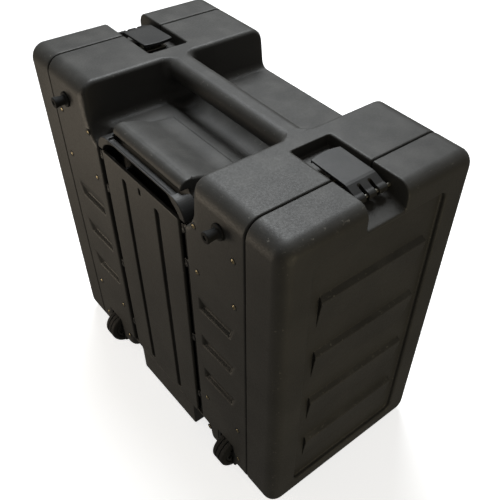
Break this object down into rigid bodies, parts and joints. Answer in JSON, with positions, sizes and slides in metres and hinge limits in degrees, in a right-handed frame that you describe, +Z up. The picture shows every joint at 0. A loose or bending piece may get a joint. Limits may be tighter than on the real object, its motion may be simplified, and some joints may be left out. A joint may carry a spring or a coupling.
{
  "type": "rolling equipment rack case",
  "caption": "Moulded rolling rack case for 19-inch audio gear, with latched front and rear lids, rack rails, carry bar, pull-out tow handle and wheels.",
  "frame": {"origin": "on the ground, at the centre of the object's bounding box, with the case standing on its wheels", "axes": "+Z up, +Y from the front lid to the rear lid, -X the side with the tow handle and the wheels"},
  "size_m": [0.395, 0.687, 0.654],
  "materials": {
    "moulded_black": "pebbled roto-moulded polyethylene, scuffed along its edges",
    "moulded_parts": "fine-grained injection-moulded nylon",
    "seal_rubber": "matt rubber",
    "tyre_rubber": "matt rubber, dusty",
    "black_steel": "satin black powder coat",
    "zinc_steel": "zinc plate",
    "aluminium": "anodised tube"
  },
  "bodies": {
    "case": {"body_shell": "moulded_black", "front_upper_keeper": "zinc_steel", "front_upper_rack_rail": "black_steel", "front_upper_rail_fixing": "zinc_steel", "front_lower_keeper": "zinc_steel", "front_lower_rack_rail": "black_steel", "front_lower_rail_fixing": "zinc_steel", "front_guide_tube": "black_steel", "front_tube_cap": "moulded_parts", "front_tube_clip_1": "moulded_parts", "front_tube_clip_2": "moulded_parts", "front_tube_clip_3": "moulded_parts", "front_tube_clip_4": "moulded_parts", "front_axle": "zinc_steel", "front_wheel_housing": "moulded_parts", "front_foot": "seal_rubber", "front_side_foot": "seal_rubber", "rear_upper_keeper": "zinc_steel", "rear_upper_rack_rail": "black_steel", "rear_upper_rail_fixing": "zinc_steel", "rear_lower_keeper": "zinc_steel", "rear_lower_rack_rail": "black_steel", "rear_lower_rail_fixing": "zinc_steel", "rear_guide_tube": "black_steel", "rear_tube_cap": "moulded_parts", "rear_tube_clip_1": "moulded_parts", "rear_tube_clip_2": "moulded_parts", "rear_tube_clip_3": "moulded_parts", "rear_tube_clip_4": "moulded_parts", "rear_axle": "zinc_steel", "rear_wheel_housing": "moulded_parts", "rear_foot": "seal_rubber", "rear_side_foot": "seal_rubber", "tow_cover": "moulded_black"},
    "front_lid_body": {"front_lid": "moulded_black", "front_gasket": "seal_rubber", "front_upper_latch_pin": "zinc_steel", "front_lower_latch_pin": "zinc_steel"},
    "front_upper_latch_body": {"front_upper_latch": "moulded_parts"},
    "front_lower_latch_body": {"front_lower_latch": "moulded_parts"},
    "front_wheel": {"front_tyre": "tyre_rubber", "front_wheel_hub": "moulded_parts"},
    "rear_lid_body": {"rear_lid": "moulded_black", "rear_gasket": "seal_rubber", "rear_upper_latch_pin": "zinc_steel", "rear_lower_latch_pin": "zinc_steel"},
    "rear_upper_latch_body": {"rear_upper_latch": "moulded_parts"},
    "rear_lower_latch_body": {"rear_lower_latch": "moulded_parts"},
    "rear_wheel": {"rear_tyre": "tyre_rubber", "rear_wheel_hub": "moulded_parts"},
    "tow_handle": {"tow_grip": "moulded_parts", "front_tow_tube": "aluminium", "rear_tow_tube": "aluminium"}
  },
  "joints": [
    {"name": "front_lid_slide", "type": "slide", "parent": "case", "child": "front_lid_body", "axis": [0, -1, 0], "range_m": [0, 0.3]},
    {"name": "rear_lid_slide", "type": "slide", "parent": "case", "child": "rear_lid_body", "axis": [0, 1, 0], "range_m": [0, 0.3]},
    {"name": "front_upper_latch_hinge", "type": "hinge", "parent": "front_lid_body", "child": "front_upper_latch_body", "pos_m": [0.0115, -0.3065, 0.636], "axis": [1, 0, 0], "range_deg": [0, 110]},
    {"name": "front_lower_latch_hinge", "type": "hinge", "parent": "front_lid_body", "child": "front_lower_latch_body", "pos_m": [0.0115, -0.3065, 0.026], "axis": [-1, 0, 0], "range_deg": [0, 95]},
    {"name": "rear_upper_latch_hinge", "type": "hinge", "parent": "rear_lid_body", "child": "rear_upper_latch_body", "pos_m": [0.0115, 0.3065, 0.636], "axis": [-1, 0, 0], "range_deg": [0, 110]},
    {"name": "rear_lower_latch_hinge", "type": "hinge", "parent": "rear_lid_body", "child": "rear_lower_latch_body", "pos_m": [0.0115, 0.3065, 0.026], "axis": [1, 0, 0], "range_deg": [0, 95]},
    {"name": "tow_handle_slide", "type": "slide", "parent": "case", "child": "tow_handle", "axis": [0, 0, 1], "range_m": [0, 0.42]},
    {"name": "front_wheel_spin", "type": "hinge", "parent": "case", "child": "front_wheel", "pos_m": [-0.1595, -0.206, 0.038], "axis": [0, 1, 0], "continuous": true},
    {"name": "rear_wheel_spin", "type": "hinge", "parent": "case", "child": "rear_wheel", "pos_m": [-0.1595, 0.206, 0.038], "axis": [0, 1, 0], "continuous": true}
  ]
}
